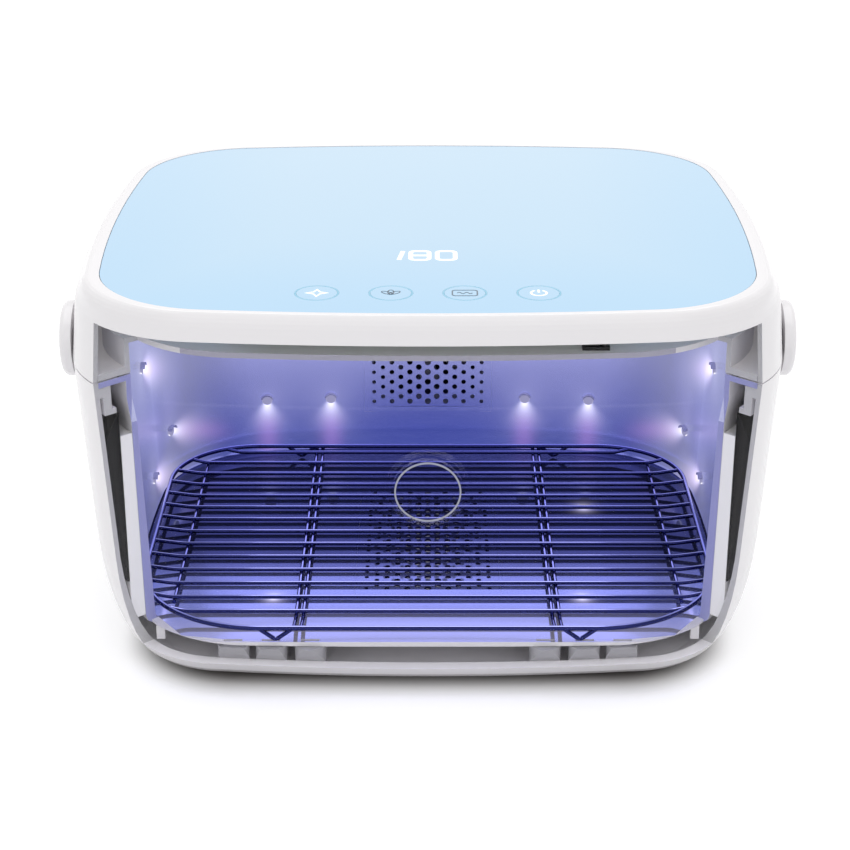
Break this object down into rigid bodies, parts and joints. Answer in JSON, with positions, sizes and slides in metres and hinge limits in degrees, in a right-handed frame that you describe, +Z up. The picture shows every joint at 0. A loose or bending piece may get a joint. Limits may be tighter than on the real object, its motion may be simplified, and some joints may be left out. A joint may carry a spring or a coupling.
{
  "type": "pacifier sterilizer case",
  "caption": "Countertop UV steriliser and dryer box for pacifiers, with hinged lid, glass touch panel, clear front, mirror chamber and lift-out wire rack.",
  "frame": {"origin": "on the table, below the middle of the object", "axes": "+X to the right seen from the front, +Y to the hinge side, +Z up"},
  "size_m": [0.3376, 0.2922, 0.1882],
  "materials": {
    "shell_white": "satin white moulding",
    "liner_silver": "mirror-finished liner",
    "clear_pane": "clear",
    "panel_glass": "gloss pale blue",
    "key_mark": "satin",
    "inner_grey": "matte grey",
    "foam_dark": "matte foam",
    "rail_grey": "satin",
    "lamp_white": "bright",
    "wire_steel": "polished wire",
    "board_green": "satin",
    "part_black": "satin",
    "part_metal": "brushed",
    "copper_coil": "matte",
    "filter_white": "matte",
    "seal_grey": "matte",
    "foot_rubber": "matte"
  },
  "bodies": {
    "base": {"base_shell": "shell_white", "chamber_liner": "liner_silver", "front_window": "clear_pane", "back_grille": "liner_silver", "floor_grille": "liner_silver", "side_rail_right": "rail_grey", "side_rail_left": "rail_grey", "wall_pad_right": "foam_dark", "wall_pad_left": "foam_dark", "floor_posts": "inner_grey", "wall_lamps": "lamp_white", "lamp_hoods": "inner_grey", "fan_frame": "part_black", "heater": "part_metal", "air_filter": "filter_white", "power_board": "board_green", "power_coil": "copper_coil", "power_capacitors": "part_black", "board_posts": "inner_grey", "power_jack": "part_black", "rubber_feet": "foot_rubber", "button_carrier": "clear_pane", "hinge_base_leaves": "shell_white", "hinge_pins": "part_metal"},
    "lid": {"lid_shell": "shell_white", "lid_window": "clear_pane", "top_panel": "panel_glass", "key_rings": "key_mark", "key_pads": "part_metal", "display_module": "part_black", "control_board": "board_green", "lid_liner": "inner_grey", "lid_seal": "seal_grey", "ceiling_lamps": "lamp_white", "ceiling_boards": "board_green", "lid_sensor": "part_black", "side_caps": "shell_white", "striker": "clear_pane", "hinge_lid_leaves": "shell_white"},
    "release": {"release_button": "clear_pane", "button_line": "key_mark", "button_spring": "part_metal"},
    "rack": {"wire_rack": "wire_steel"},
    "fan": {"fan_impeller": "part_black"}
  },
  "joints": [
    {"name": "lid_hinge", "type": "hinge", "parent": "base", "child": "lid", "pos_m": [0, 0.14215, 0.14765], "axis": [-1, 0, 0], "range_deg": [0, 95]},
    {"name": "release_press", "type": "slide", "parent": "base", "child": "release", "axis": [0, 1, 0], "range_m": [0, 0.003], "stiffness_N_per_m": 400, "springref_m": -0.0005},
    {"name": "rack_lift", "type": "slide", "parent": "base", "child": "rack", "axis": [0, 0, 1], "range_m": [0, 0.1]},
    {"name": "fan_spin", "type": "hinge", "parent": "base", "child": "fan", "pos_m": [0, 0.12075, 0.079], "axis": [0, 1, 0], "continuous": true}
  ]
}
